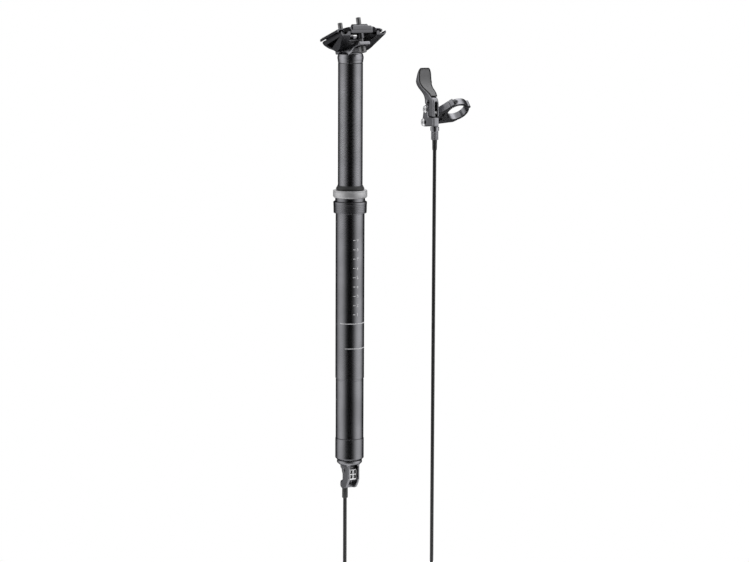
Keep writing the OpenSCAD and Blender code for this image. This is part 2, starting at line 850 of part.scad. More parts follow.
// The floor between the wings, whose round underside rocks in the seat
module floor_2d() {
    intersection() {
        translate([seat_y, seat_n]) circle(seat_r, $fn = 96);
        translate([floor_rear, floor_n - 20]) square([floor_front - floor_rear, 20]);
    }
}

// Three-sided recess in a wing's outer face, under its channel
module wing_pocket() {
    floor_x = rail_x - rail_r;
    translate([floor_x, 0, 0]) rotate([90, 0, 90]) linear_extrude(20) polygon([
        [cradle_front - 4, -half_gap - 4.6], [cradle_front - 9, -half_gap - 9.4],
        [-channel_rear + 7, -half_gap - 3.9]
    ]);
}

module rail_channels() {
    for (side = [-1, 1]) translate([side * rail_x, 60, 0]) rotate([90, 0, 0])
        cylinder(r = rail_r + slide_fit, h = 120);
}

module upper_clamp() {
    color(black) clamp_frame() difference() {
        union() {
            for (side = [-1, 1]) rail_cap(side);
            cross_arm(front_bolt_y);
            cross_arm(-rear_bolt_y);
            translate([0, -rear_bolt_y, 0]) rod(sleeve_r, sleeve_foot, 0);
        }
        rail_channels();
        for (y = [front_bolt_y, -rear_bolt_y]) {
            cross_pin([y, nut_n], nut_r + slide_fit, -nut_len / 2 - 0.1, nut_len / 2 + 0.1);
            translate([-nut_len / 2 - 0.1, y - nut_r - slide_fit, nut_n])
                cube([nut_len + 0.2, 2 * (nut_r + slide_fit), 20]);
            translate([0, y, 0]) rod(bolt_r + pass_fit, sleeve_foot - 1, 20);
        }
    }
}

// Cap over one rail, with rounded shoulders
module rail_cap(side) {
    inner_x = rail_x - rail_r - 2.6;
    top = rail_r + 1.2;
    mirror([side < 0 ? 1 : 0, 0, 0]) intersection() {
        along(-cap_rear, channel_front) polygon([
            [inner_x, half_gap], [channel_x + 0.4, half_gap], [channel_x + 0.4, half_gap + 2.2],
            [channel_x - 1.4, top - 0.5], [rail_x, top], [inner_x, top]
        ]);
        across(200) polygon([
            [channel_front, half_gap], [channel_front, half_gap + 2], [channel_front - 3, top],
            [-cap_rear + 2, top], [-cap_rear, half_gap + 2], [-cap_rear, half_gap]
        ]);
    }
}

// Arched, rounded arm from one rail cap to the other, bowed outward, with the barrel nut's bed in its middle
module cross_arm(y) {
    span = rail_x - rail_r + 0.4;
    over_wing = rail_x - rail_r - 3.3;
    bed = nut_len / 2 + 2.4;
    top = rail_r + 1.2;
    out = y > 0 ? boss_r : -boss_r;
    end = y > 0 ? channel_front : -cap_rear;
    intersection() {
        union() {
            cross_pin([y, nut_n], boss_r, -bed, bed);
            cross_pin([y, arm_n], arm_r, -span, span);
        }
        along(y - boss_r, y + boss_r) polygon([
            [-span, top], [-bed, nut_n + 0.9], [bed, nut_n + 0.9], [span, top], [span, half_gap + 0.4],
            [over_wing, 0], [bed, boss_under], [-bed, boss_under], [-over_wing, 0], [-span, half_gap + 0.4]
        ]);
        translate([0, 0, -20]) linear_extrude(40) polygon([
            [-span, end], [-bed, y + out], [bed, y + out], [span, end], [span, y - out], [-span, y - out]
        ]);
    }
}

module barrel_nuts() {
    color(satin_black) clamp_frame() for (y = [front_bolt_y, -rear_bolt_y]) difference() {
        cross_pin([y, nut_n], nut_r, -nut_len / 2, nut_len / 2);
        translate([0, y, 0]) rod(bolt_r + slide_fit, nut_n - 10, nut_n + 10);
    }
}

// A socket-head clamp bolt and its washer, hung under an ear
module clamp_screw(y, top, seat) {
    color(steel) clamp_frame() translate([0, y, 0]) difference() {
        union() {
            rod(bolt_r, seat, top);
            rod(bolt_head_r, seat - bolt_head_h, seat);
        }
        translate([0, 0, seat - bolt_head_h - 1]) cylinder(d = bolt_d * 0.92, h = 3.6, $fn = 6);
    }
}

module screw_washer(y, seat, thick) {
    color(steel) clamp_frame() translate([0, y, 0]) pipe(washer_r, bolt_r + seat_fit, seat, seat + thick);
}

front_seat = front_ear_under - washer_gap - front_washer_t;
rear_seat = rear_ear_under - washer_gap - rear_washer_t;

module front_bolt() {
    clamp_screw(front_bolt_y, front_bolt_top, front_seat);
}

module front_washer() {
    screw_washer(front_bolt_y, front_seat, front_washer_t);
}

module rear_bolt() {
    clamp_screw(-rear_bolt_y, rear_bolt_top, rear_seat);
}

module rear_washer() {
    screw_washer(-rear_bolt_y, rear_seat, rear_washer_t);
}

// Remote

module remote_body() {
    color(satin_black) remote_frame() difference() {
        across(lever_w) body_2d();
        across(tongue_w + 0.4) {
            translate([-20, body_top]) square([60, 40]);
            translate(pivot) circle(ear_r + 1);
        }
        cross_pin(pivot, pivot_r + seat_fit, -20, 20);
        cross_pin(mount_at, mount_r + seat_fit, -20, 20);
        rod(stem_r + slide_fit, body_z - 1, body_top - 2.5);
        rod(wire_bore_r, body_z, body_top + 1);
    }
}

// Side outline: a block over the cable, an ear up to the pivot, a lobe round the mount bolt
module body_2d() {
    polygon([
        [body_rear, body_z], [flange_r + pass_fit, body_z], [mount_at[0], mount_at[1] - 4.8],
        [mount_at[0] + 4.6, mount_at[1]],
        [pivot[0] + ear_r, pivot[1]], [pivot[0] - ear_r, pivot[1]], [pivot[0] - ear_r, body_top],
        [body_rear, body_top]
    ]);
    translate(pivot) circle(ear_r);
    translate(mount_at) circle(4.8);
}

module lever() {
    color(satin_black) remote_frame() difference() {
        intersection() {
            union() {
                across(paddle_w) lever_2d();
                across(tongue_w) translate(pivot) circle(ear_r - 0.2);
            }
            along(-40, 60) lever_front_2d();
        }
        for (side = [-1, 1]) translate([side * (tongue_w + 20) / 2, 0, 0]) across(20) {
            translate(pivot) circle(ear_r + 0.5);
            translate([pivot[0] - ear_r - 0.5, 80]) square([40, pivot[1] - 80]);
        }
        cross_pin(pivot, pivot_r + 1 + slide_fit, -20, 20);
        cross_pin(screw_at, screw_r + seat_fit, -20, 20);
        cross_pin(wire_anchor, anchor_pin_r + 0.7, -anchor_pin_len / 2 - 0.2, anchor_pin_len / 2 + 0.2);
        wire_slot();
    }
}

// Thumb face of the lever, from the pad's lower seam to its top, as [forward, up]
thumb_face = [
    [2.2, 121], [5, 123.6], [9.5, 126.2], [15.2, 129], [19.4, 132.4], [21.4, 137], [22.2, 143],
    [22.8, 149.6]
];
pad_shift = [0.75, -0.8];

function inset(points, depth) = [for (p = points) p + depth * pad_shift];

module lever_2d() {
    polygon(concat(
        [[body_rear, body_top + seam], [body_rear, 113], [-2.4, 116], [-0.6, 118.4]],
        inset(thumb_face, pad_t + 0.05),
        [[24.2, 150.4], [25.6, 150.2], [28, 143.4], [30.6, 137], [31.4, 134], [30.6, 130.6], [27.6, 127.2],
         [21.8, 122.6], [18.6, 119], [17, 115.6], [pivot[0] + 2.4, pivot[1]], [pivot[0], body_top + seam]]
    ));
}

// Outline of the lever seen from the thumb: slim at the pivot, wide and rounded at the paddle
module lever_front_2d() {
    w = lever_w / 2;
    p = paddle_w / 2;
    polygon([
        [-w, 90], [w, 90], [w, 121], [w + 0.4, 123], [p - 1.2, 130], [p, 135], [p, 144], [p - 0.9, 148],
        [p - 3, 150.6], [-p + 3, 150.6], [-p + 0.9, 148], [-p, 144], [-p, 135], [-p + 1.2, 130],
        [-w - 0.4, 123], [-w, 121]
    ]);
}

module wire_slot() {
    slot_w = 2.2;
    translate([-slot_w / 2, body_rear - 5, body_top - 5]) cube([slot_w, 5 - body_rear + 4.2, 22]);
}

module thumb_pad() {
    top = len(thumb_face) - 1;
    outer = thumb_face;
    inner = inset(thumb_face, pad_t);
    color(rubber) remote_frame() intersection() {
        across(paddle_w) polygon(concat(outer, [for (k = [top:-1:0]) inner[k]]));
        along(-40, 60) lever_front_2d();
    }
}

// A domed silver bolt whose head shows on the remote's left side
module side_bolt(place, shank_r, reach) {
    face = -lever_w / 2;
    dome = 0.7;
    color(silver) remote_frame() translate([face, place[0], place[1]]) rotate([0, 90, 0]) difference() {
        turned([
            [0, -head_t], [head_r - 1.2, -head_t], [head_r - 0.3, -head_t + dome], [head_r, -head_t + 1.2],
            [head_r, 0], [shank_r, 0], [shank_r, reach], [0, reach]
        ]);
        translate([0, 0, -head_t - 1]) cylinder(d = 2.9, h = 2.4, $fn = 6);
    }
}

module pivot_bolt() {
    side_bolt(pivot, pivot_r, lever_w);
}

module mount_bolt() {
    side_bolt(mount_at, mount_r, lever_w + arm_root_t);
}

module pivot_bushing() {
    half = tongue_w / 2 + 0.1;
    color(brass) remote_frame() difference() {
        cross_pin(pivot, pivot_r + 1, -half, half);
        cross_pin(pivot, pivot_r + seat_fit, -20, 20);
    }
}

module pinch_screw() {
    half = lever_w / 2 - 1.4;
    color(steel) remote_frame() difference() {
        cross_pin(screw_at, screw_r, -half, half);
        translate([-half - 1, screw_at[0], screw_at[1]]) rotate([0, 90, 0]) cylinder(d = 3, h = 3, $fn = 6);
    }
}

// Arm of the bar clamp: a foot on the body's right side, a truss and the fixed part of the ring
module clamp_arm() {
    color(satin_black) difference() {
        union() {
            remote_frame() translate([lever_w / 2 + arm_root_t / 2 + slide_fit, 0, 0])
                across(arm_root_t - 2 * slide_fit) arm_foot_2d();
            band_frame() translate([0, 0, -band_w / 2]) linear_extrude(band_w) arm_2d();
        }
        remote_frame() cross_pin(mount_at, mount_r + seat_fit, 0, 30);
        band_frame() {
            rod(band_bore_r, -20, 20);
            clamp_bolt_hole(clamp_bolt_r + seat_fit);
            at_hinge() rod(hinge_r + seat_fit, -20, 20);
            at_hinge() rod(lug_r + 0.3, -knuckle / 2 - 0.1, knuckle / 2 + 0.1);
        }
    }
}

module arm_foot_2d() {
    rear = 4;
    polygon([[rear, body_z + 0.6], [mount_at[0], mount_at[1] - 4.8], [mount_at[0] + 4, mount_at[1]],
             [12, body_top - 0.5], [rear, body_top - 0.5]]);
    translate(mount_at) circle(4.8);
}

// Arm and fixed ring in the clamp's plane, with the truss's two windows
module arm_2d() {
    root = lever_w / 2 + 0.7 - band_at[0];
    difference() {
        union() {
            circle(band_r);
            polygon([[root, -19], [root, -1], [-11.5, 10.5], [-14.6, 7], [6, -13], [1.9, -16.2]]);
            clamp_lug_2d();
        }
        wedge_2d(hinge_angle, cap_to + 1, 40);
        polygon([[root + 3.4, -15.6], [root + 3.4, -6], [-13.6, -11]]);
        polygon([[root + 4.6, -3], [-15.4, 3.6], [-14.4, -7]]);
    }
    at_hinge() circle(lug_r);
}

module at_hinge() {
    rotate([0, 0, hinge_angle]) translate([hinge_at, 0, 0]) children();
}

module clamp_lug_2d() {
    rotate([0, 0, cap_to]) translate([lug_at, 0]) square([2 * lug_r, 9], center = true);
}

// Swinging half of the ring, hinged at one end and bolted to the arm's lug at the other
module clamp_cap() {
    color(satin_black) band_frame() difference() {
        union() {
            difference() {
                translate([0, 0, -band_w / 2]) linear_extrude(band_w) intersection() {
                    union() {
                        circle(band_r);
                        clamp_lug_2d();
                    }
                    wedge_2d(hinge_angle, cap_to - 1, 40);
                }
                at_hinge() rod(lug_r + 0.3, -20, 20);
            }
            at_hinge() rod(lug_r, -knuckle / 2, knuckle / 2);
            translate([0, 0, -knuckle / 2]) linear_extrude(knuckle) intersection() {
                circle(band_r);
                wedge_2d(hinge_angle + 2, hinge_angle + 20, 40);
            }
        }
        rod(band_bore_r, -20, 20);
        clamp_bolt_hole(clamp_bolt_r + 0.2);
        rotate([0, 0, cap_to]) translate([lug_at, 0, 0]) rotate([90, 0, 0])
            rod(clamp_head_r + 0.2, clamp_seat, clamp_seat + 6);
        at_hinge() rod(hinge_r + slide_fit, -20, 20);
    }
}

module clamp_bolt_hole(radius) {
    rotate([0, 0, cap_to]) translate([lug_at, 20, 0]) rotate([90, 0, 0]) cylinder(r = radius, h = 40);
}

// Its head bears on the swinging half's lug
module clamp_bolt() {
    color(steel) band_frame() rotate([0, 0, cap_to]) translate([lug_at, 0, 0]) rotate([90, 0, 0])
        difference() {
            union() {
                rod(clamp_bolt_r, -4.2, clamp_seat);
                rod(clamp_head_r, clamp_seat, clamp_seat + clamp_head_h);
            }
            translate([0, 0, clamp_seat + 0.8]) cylinder(d = 2.6, h = clamp_head_h, $fn = 6);
        }
}

module hinge_pin() {
    color(steel) band_frame() at_hinge() rod(hinge_r, -band_w / 2, band_w / 2);
}

module barrel_adjuster() {
    flutes = 14;
    flute_r = 0.7;
    top = body_z - pass_fit;
    flute_top = top - flange_h - flute_r;
    color(satin_black) remote_frame() difference() {
        union() {
            rod(barrel_r, barrel_z, top - flange_h);
            rod(flange_r, top - flange_h, top);
            rod(stem_r, top, body_top - 3.5);
        }
        rod(wire_bore_r, barrel_z - 1, body_top);
        rod(boot_spigot_r + slide_fit, barrel_z - 1, barrel_z + boot_spigot_len + 0.5);
        for (k = [0:flutes - 1]) rotate([0, 0, 360 / flutes * k])
            translate([barrel_r + flute_r / 2, 0, 0]) rod(flute_r, barrel_z - 1, flute_top);
    }
}

module cable_boot() {
    top = barrel_z - slide_fit;
    color(rubber) remote_frame() turned([
        [wire_bore_r, boot_z], [boot_r - 0.5, boot_z], [boot_r - 0.2, boot_z + 1], [boot_r, top],
        [boot_spigot_r, top], [boot_spigot_r, barrel_z + boot_spigot_len],
        [wire_bore_r, barrel_z + boot_spigot_len]
    ]);
}

module lever_wire() {
    color(steel) remote_frame() {
        rod(wire_r, boot_z + 2, wire_anchor[1]);
        cross_pin(wire_anchor, anchor_pin_r, -anchor_pin_len / 2, anchor_pin_len / 2);
    }
}

// Cable housing

function unit(v) = v / norm(v);

function tangent(path, k) = unit(path[min(k + 1, len(path) - 1)] - path[max(k - 1, 0)]);

// Ring of points about each path point, square to the path, from one fixed side direction
function tube_ring(path, k, radius, sides, side) = let (
    t = k == 0 ? unit(path[1] - path[0]) : tangent(path, k),
    u = unit(side - (side * t) * t),
    v = cross(t, u)
) [for (j = [0:sides - 1]) path[k] + radius * (cos(360 * j / sides) * u + sin(360 * j / sides) * v)];

module swept_tube(path, radius, sides, side) {
    rings = len(path);
    points = [for (k = [0:rings - 1]) each tube_ring(path, k, radius, sides, side)];
    last = (rings - 1) * sides;
    walls = [for (k = [0:rings - 2], j = [0:sides - 1]) let (
        a = k * sides + j,
        b = k * sides + (j + 1) % sides
    ) each [[a, a + sides, b], [b, a + sides, b + sides]]];
    ends = [for (j = [1:sides - 2]) each [[0, j, j + 1], [last, last + j + 1, last + j]]];
    polyhedron(points, concat(walls, ends), convexity = 10);
}

// Straight stretches get extra rings, about every three diameters
function filled(points) = [for (k = [0:len(points) - 1]) each let (
    last = k == len(points) - 1,
    gap = last ? 0 : norm(points[k + 1] - points[k]),
    parts = last ? 1 : max(1, ceil(gap / (3 * housing_d)))
) [for (i = [0:parts - 1]) last ? points[k] : points[k] + (points[k + 1] - points[k]) * i / parts]];

// Coil: in through layer one, across in the half turn where the spiral reverses, out through layer two
coil_rings = 24;
coil_turns = 2 * coil_loops;
coil_count = round(coil_turns * coil_rings);

function coil_reach(turn) = coil_out_r - coil_step * min(turn, coil_turns - turn);

function smooth(t) = t * t * (3 - 2 * t);

function coil_layer(turn) = smooth(max(0, min(1, turn - coil_loops + 0.5)));

function coil_point(turn) = coil_centre + [
    -coil_reach(turn) * cos(360 * turn),
    -coil_side + 2 * coil_side * coil_layer(turn),
    -coil_reach(turn) * sin(360 * turn)
];

coil_start = coil_point(0);
coil_end = coil_point(coil_turns);
coil_path = concat(
    [coil_start + [0, 0, coil_lead]],
    [for (k = [0:coil_count]) coil_point(k / coil_rings)],
    [coil_end + [0, 0, coil_lead]]
);

// Least distance between turns: points more than half a loop apart along the coil
coil_gap = min([for (a = [0:coil_count - 12]) min([for (b = [a + 12:coil_count])
    norm(coil_point(a / coil_rings) - coil_point(b / coil_rings))])]) - housing_d;
echo(coil_least_gap = coil_gap);

module housing_post_run() {
    color(rubber) swept_tube(filled(concat(post_run_points, [coil_path[0]])), housing_d / 2, 8, [0, 1, 0]);
}

module housing_remote_run() {
    color(rubber) swept_tube(filled(concat(remote_run_points, [coil_path[len(coil_path) - 1]])),
                             housing_d / 2, 8, [0, 1, 0]);
}

module housing_coil() {
    color(rubber) swept_tube(coil_path, housing_d / 2, 6, [0, 1, 0]);
}

// Tie round the coil's lowest bundle
module coil_tie() {
    strap_w = 4;
    strap_t = 0.8;
    room = 0.4;
    deep = coil_side + housing_d / 2 + room;
    tall = coil_half_width + housing_d / 2 + room;
    color(satin_black) translate([coil_centre[0] - strap_w / 2, coil_centre[1], coil_centre[2] - coil_r])
        difference() {
            translate([0, -deep - strap_t, -tall - strap_t])
                cube([strap_w, 2 * (deep + strap_t), 2 * (tall + strap_t)]);
            translate([-1, -deep, -tall]) cube([strap_w + 2, 2 * deep, 2 * tall]);
        }
}

outer_tube();
collar();
seal_housing();
seal_ring();
wiper_seal();
foam_ring();
upper_bushing();
end_cap();
cartridge_body();
cartridge_gland();
gland_seal();
actuator_bracket();
cam_pin();
housing_ferrule();
stanchion();
saddle_head();
lower_bushing();
guide_keys();
piston_rod();
piston();
piston_seal();
rod_anchor();
anchor_nut();
snap_ring();
lower_cradle();
upper_clamp();
barrel_nuts();
front_bolt();
front_washer();
rear_bolt();
rear_washer();
cam_lever();
valve_pin();
cam_wire();
remote_body();
lever();
thumb_pad();
pivot_bolt();
pivot_bushing();
mount_bolt();
clamp_arm();
clamp_cap();
clamp_bolt();
hinge_pin();
pinch_screw();
barrel_adjuster();
cable_boot();
lever_wire();
housing_post_run();
housing_remote_run();
housing_coil();
coil_tie();
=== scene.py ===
"""Looks of a telescoping bicycle seatpost with its thumb remote and cable."""
import json
import math

import bmesh
import bpy
from mathutils import Matrix, Vector


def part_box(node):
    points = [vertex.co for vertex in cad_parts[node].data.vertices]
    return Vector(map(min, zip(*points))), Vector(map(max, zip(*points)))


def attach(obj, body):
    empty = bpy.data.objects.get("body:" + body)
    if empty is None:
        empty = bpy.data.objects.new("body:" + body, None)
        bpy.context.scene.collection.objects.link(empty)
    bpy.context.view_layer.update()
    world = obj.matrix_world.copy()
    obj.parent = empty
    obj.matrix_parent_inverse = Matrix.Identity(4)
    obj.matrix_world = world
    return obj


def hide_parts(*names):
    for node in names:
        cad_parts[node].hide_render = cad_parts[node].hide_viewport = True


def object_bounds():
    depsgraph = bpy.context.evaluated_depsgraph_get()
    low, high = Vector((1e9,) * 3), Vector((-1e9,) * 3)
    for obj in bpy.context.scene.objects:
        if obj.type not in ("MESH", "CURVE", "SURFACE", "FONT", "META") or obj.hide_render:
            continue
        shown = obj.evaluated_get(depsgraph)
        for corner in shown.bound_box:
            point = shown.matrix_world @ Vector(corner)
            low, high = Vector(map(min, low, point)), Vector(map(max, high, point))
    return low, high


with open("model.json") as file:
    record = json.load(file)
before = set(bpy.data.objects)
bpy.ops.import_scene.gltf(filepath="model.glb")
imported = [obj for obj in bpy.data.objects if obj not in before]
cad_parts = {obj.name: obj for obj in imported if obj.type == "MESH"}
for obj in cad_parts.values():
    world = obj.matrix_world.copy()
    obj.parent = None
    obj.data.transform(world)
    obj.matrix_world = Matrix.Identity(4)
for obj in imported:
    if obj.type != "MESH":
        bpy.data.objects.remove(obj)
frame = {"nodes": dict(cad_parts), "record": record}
cad_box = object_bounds()

MM = 0.001
nodes = frame["nodes"]
scene = bpy.context.scene


# Camera

VIEW_AZIMUTH = math.radians(-28.3)
VIEW_ELEVATION = math.radians(8.5)
VIEW_ROLL = math.radians(0.236)
VIEW_DISTANCE = 2.8
VIEW_AIM_RIGHT = 26.3 * MM
VIEW_AIM_HEIGHT = -73.6 * MM
LENS = 125.7
SENSOR = 36.0

back = Vector((
    math.sin(VIEW_AZIMUTH) * math.cos(VIEW_ELEVATION),
    -math.cos(VIEW_AZIMUTH) * math.cos(VIEW_ELEVATION),
    math.sin(VIEW_ELEVATION),
))
level_right = Vector((math.cos(VIEW_AZIMUTH), math.sin(VIEW_AZIMUTH), 0))
toward_viewer = Vector((math.sin(VIEW_AZIMUTH), -math.cos(VIEW_AZIMUTH), 0))


def make_camera():
    level_up = back.cross(level_right)
    right = level_right * math.cos(VIEW_ROLL) + level_up * math.sin(VIEW_ROLL)
    up = back.cross(right)
    aim = level_right * VIEW_AIM_RIGHT + Vector((0, 0, VIEW_AIM_HEIGHT))
    data = bpy.data.cameras.new("camera")
    data.lens = LENS
    data.sensor_width = SENSOR
    data.sensor_fit = "HORIZONTAL"
    camera = bpy.data.objects.new("camera", data)
    turn = Matrix((right, up, back)).transposed().to_4x4()
    camera.matrix_world = Matrix.Translation(aim + back * VIEW_DISTANCE) @ turn
    scene.collection.objects.link(camera)
    scene.camera = camera


make_camera()


# Small helpers

def add_object(name, data):
    obj = bpy.data.objects.new(name, data)
    scene.collection.objects.link(obj)
    return obj


def mesh_object(name, verts, faces, smooth=True):
    mesh = bpy.data.meshes.new(name)
    mesh.from_pydata([tuple(v) for v in verts], [], faces)
    mesh.polygons.foreach_set("use_smooth", [smooth] * len(mesh.polygons))
    mesh.update()
    return add_object(name, mesh)


def bmesh_object(name, bm):
    mesh = bpy.data.meshes.new(name)
    bm.normal_update()
    bm.to_mesh(mesh)
    bm.free()
    return add_object(name, mesh)


def skin(bm, rows):
    """Joins rows of four corners to a bar, one row to the next."""
    for a, b in zip(rows, rows[1:]):
        for j in range(4):
            bm.faces.new((a[j], b[j], b[(j + 1) % 4], a[(j + 1) % 4]))


def round_cord(name, route, radius, facets, closed=False):
    """A round cord along a route, with flat ends or closed to a loop."""
    data = bpy.data.curves.new(name, "CURVE")
    data.dimensions = "3D"
    data.bevel_depth = radius
    data.bevel_resolution = facets
    data.use_fill_caps = not closed
    spline = data.splines.new("POLY")
    spline.points.add(len(route) - 1)
    for point, place in zip(spline.points, route):
        point.co = (*place, 1)
    spline.use_cyclic_u = closed
    spline.use_smooth = True
    return add_object(name, data)


def soften(obj, width, segments):
    bevel = obj.modifiers.new("edge", "BEVEL")
    bevel.width = width
    bevel.segments = segments
    return bevel


def finish_piece(obj, body, material):
    obj.data.materials.clear()
    obj.data.materials.append(material)
    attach(obj, body)


# Materials

NOISE_SPAN = (0.3, 0.7)
MIX_FACTOR, MIX_FIRST, MIX_SECOND = 0, 6, 7
MIX_RESULT = 2
DYE_TINT = (0.07, 0.07, 0.07, 1)
# Painted shade in a piece's pockets: the samples that find them and the dark colour painted there
POCKET_SHADE_SAMPLES = 8
POCKET_SHADE_COLOUR = (0.012, 0.012, 0.013)


class Shader:
    """A node material with a principled surface and short ways to add what varies over it."""

    def __init__(self, name):
        self.material = bpy.data.materials.new(name)
        self.material.use_nodes = True
        self.tree = self.material.node_tree
        self.surface = self.tree.nodes["Principled BSDF"]
        self.place = self.node("ShaderNodeTexCoord").outputs["Object"]

    def node(self, kind, **settings):
        made = self.tree.nodes.new(kind)
        for key, value in settings.items():
            setattr(made, key, value)
        return made

    def link(self, source, target):
        self.tree.links.new(source, target)

    def set(self, **values):
        for key, value in values.items():
            socket = key.replace("_", " ").title().replace("Ior", "IOR")
            self.surface.inputs[socket].default_value = value

    def stretched(self, scale):
        mapping = self.node("ShaderNodeMapping")
        mapping.inputs["Scale"].default_value = scale
        self.link(self.place, mapping.inputs["Vector"])
        return mapping.outputs["Vector"]

    def noise(self, scale, detail, stretch=None):
        noise = self.node("ShaderNodeTexNoise")
        noise.inputs["Scale"].default_value = scale
        noise.inputs["Detail"].default_value = detail
        self.link(self.stretched(stretch) if stretch else self.place, noise.inputs["Vector"])
        return noise.outputs["Fac"]

    def ramp(self, source, low, high):
        ramp = self.node("ShaderNodeMapRange")
        ramp.inputs["From Min"].default_value, ramp.inputs["From Max"].default_value = NOISE_SPAN
        ramp.inputs["To Min"].default_value = low
        ramp.inputs["To Max"].default_value = high
        self.link(source, ramp.inputs["Value"])
        return ramp.outputs["Result"]

    def vary_roughness(self, source, middle, less, more):
        self.link(self.ramp(source, middle - less, middle + more), self.surface.inputs["Roughness"])

    def vary_colour(self, source, first, second):
        mix = self.node("ShaderNodeMix", data_type="RGBA")
        mix.inputs[MIX_FIRST].default_value = (*first, 1)
        mix.inputs[MIX_SECOND].default_value = (*second, 1)
        self.link(self.ramp(source, 0, 1), mix.inputs[MIX_FACTOR])
        self.link(mix.outputs[MIX_RESULT], self.surface.inputs["Base Color"])

    def vary_grey(self, level, low, high, blue, scale):
        """Broad patches between two shares of a grey, with a touch of blue."""
        first, second = ((level * k, level * k, level * k * blue) for k in (low, high))
        self.vary_colour(self.noise(scale, detail=2.0), first, second)

    def paint_pocket_shade(self, reach, colour):
        """Painted shade: blends to a darker colour in the piece's own pockets, about as deep as the
        reach.
        """
        openness = self.node("ShaderNodeAmbientOcclusion", samples=POCKET_SHADE_SAMPLES, only_local=True)
        openness.inputs["Distance"].default_value = reach
        base = self.surface.inputs["Base Color"]
        mix = self.node("ShaderNodeMix", data_type="RGBA")
        mix.inputs[MIX_FIRST].default_value = (*colour, 1)
        self.link(base.links[0].from_socket, mix.inputs[MIX_SECOND])
        self.link(self.ramp(openness.outputs["AO"], 0, 1), mix.inputs[MIX_FACTOR])
        self.link(mix.outputs[MIX_RESULT], base)

    def bump(self, source, height, strength):
        bump = self.node("ShaderNodeBump")
        bump.inputs["Strength"].default_value = strength
        bump.inputs["Distance"].default_value = height
        self.link(source, bump.inputs["Height"])
        self.link(bump.outputs["Normal"], self.surface.inputs["Normal"])


def anodised(name, level, rough, grain, stretch=None):
    """Dyed aluminium: dark metal with a bead-blasted or drawn grain."""
    made = Shader(name)
    made.set(metallic=1.0, specular_tint=DYE_TINT)
    fine = made.noise(grain, detail=4.0, stretch=stretch)
    made.vary_grey(level, low=0.88, high=1.12, blue=1.06, scale=45.0)
    made.vary_roughness(fine, rough, less=0.05, more=0.06)
    made.bump(fine, height=0.02 * MM, strength=0.15)
    return made.material


def bright_metal(name, level, rough, grain, stretch=None, metallic=1.0, pocket_shade=0.0):
    """Bare or plated metal with a fine grain, and painted shade in its pockets where a depth for it is
    given.
    """
    made = Shader(name)
    made.set(metallic=metallic)
    fine = made.noise(grain, detail=4.0, stretch=stretch)
    made.vary_grey(level, low=0.93, high=1.04, blue=1.02, scale=60.0)
    if pocket_shade:
        made.paint_pocket_shade(pocket_shade, POCKET_SHADE_COLOUR)
    made.vary_roughness(fine, rough, less=0.06, more=0.08)
    made.bump(fine, height=0.01 * MM, strength=0.2)
    return made.material


def moulded(name, level, rough, grain, height):
    """Rubber, plastic and sheath: dark, not metal, with a moulded grain."""
    made = Shader(name)
    made.set(specular_ior_level=0.45)
    fine = made.noise(grain, detail=3.0)
    made.vary_grey(level, low=0.85, high=1.15, blue=1.03, scale=70.0)
    made.vary_roughness(fine, rough, less=0.07, more=0.07)
    made.bump(fine, height, strength=0.4)
    return made.material


def coloured_metal(name, first, second, rough):
    """Bare metal that varies between two colours."""
    made = Shader(name)
    made.set(metallic=1.0)
    made.vary_colour(made.noise(scale=120.0, detail=3.0), first, second)
    made.vary_roughness(made.noise(scale=900.0, detail=3.0), rough, less=0.05, more=0.08)
    return made.material


# Stretches of a grain, then each slot's finish: its kind and the values that kind takes after the name
TURNED = (1.0, 1.0, 14.0)
DRAWN = (12.0, 12.0, 0.6)
BRUSHED = (8.0, 1.0, 1.0)
FINISHES = {
    "black_tube": (anodised, 0.17, 0.25, 900.0, TURNED),
    "black_collar": (anodised, 0.16, 0.25, 1200.0, TURNED),
    "silver_ring": (bright_metal, 0.5, 0.44, 900.0, TURNED, 0.45),
    "seal_rubber": (moulded, 0.018, 0.55, 900.0, 0.02 * MM),
    "foam": (moulded, 0.12, 0.9, 1500.0, 0.15 * MM),
    "guide_plastic": (moulded, 0.16, 0.5, 700.0, 0.01 * MM),
    "key_brass": (coloured_metal, (0.56, 0.40, 0.16), (0.66, 0.50, 0.22), 0.3),
    "inner_steel": (bright_metal, 0.5, 0.26, 700.0, TURNED),
    "gland_black": (anodised, 0.06, 0.35, 900.0, TURNED),
    "forged_black": (anodised, 0.23, 0.27, 1400.0),
    "bolt_steel": (bright_metal, 0.16, 0.4, 800.0),
    "bracket_black": (anodised, 0.22, 0.32, 1300.0),
    # The cam's last value is the depth of the painted shade in its pockets
    "cam_silver": (bright_metal, 0.7, 0.36, 700.0, BRUSHED, 0.8, 4.0 * MM),
    "wire_steel": (bright_metal, 0.3, 0.45, 2500.0, DRAWN),
    "remote_black": (anodised, 0.22, 0.27, 1500.0),
    "pad_rubber": (moulded, 0.16, 0.55, 1200.0, 0.03 * MM),
    "silver_bolt": (bright_metal, 0.74, 0.26, 700.0),
    "ferrule_black": (moulded, 0.02, 0.42, 700.0, 0.01 * MM),
    "housing_black": (moulded, 0.014, 0.4, 500.0, 0.02 * MM),
    "tie_black": (moulded, 0.025, 0.5, 700.0, 0.02 * MM),
}
materials = {name: make(name, *values) for name, (make, *values) in FINISHES.items()}
print_white = moulded("print_white", 0.72, 0.55, 1500.0, 0.005 * MM)
# Near-black colour of the cord of painted shade round the thumb pad
shade_cord_black = moulded("shade_cord_black", 0.009, 0.6, 900.0, 0.01 * MM)
# A darker copy of forged_black: painted shade for the dark inside of the clamp
clamp_shaded_black = anodised("clamp_shaded_black", 0.11, 0.27, 1400.0)


# Cable housing: down from the actuator, through a tied coil below the view, and up to the remote

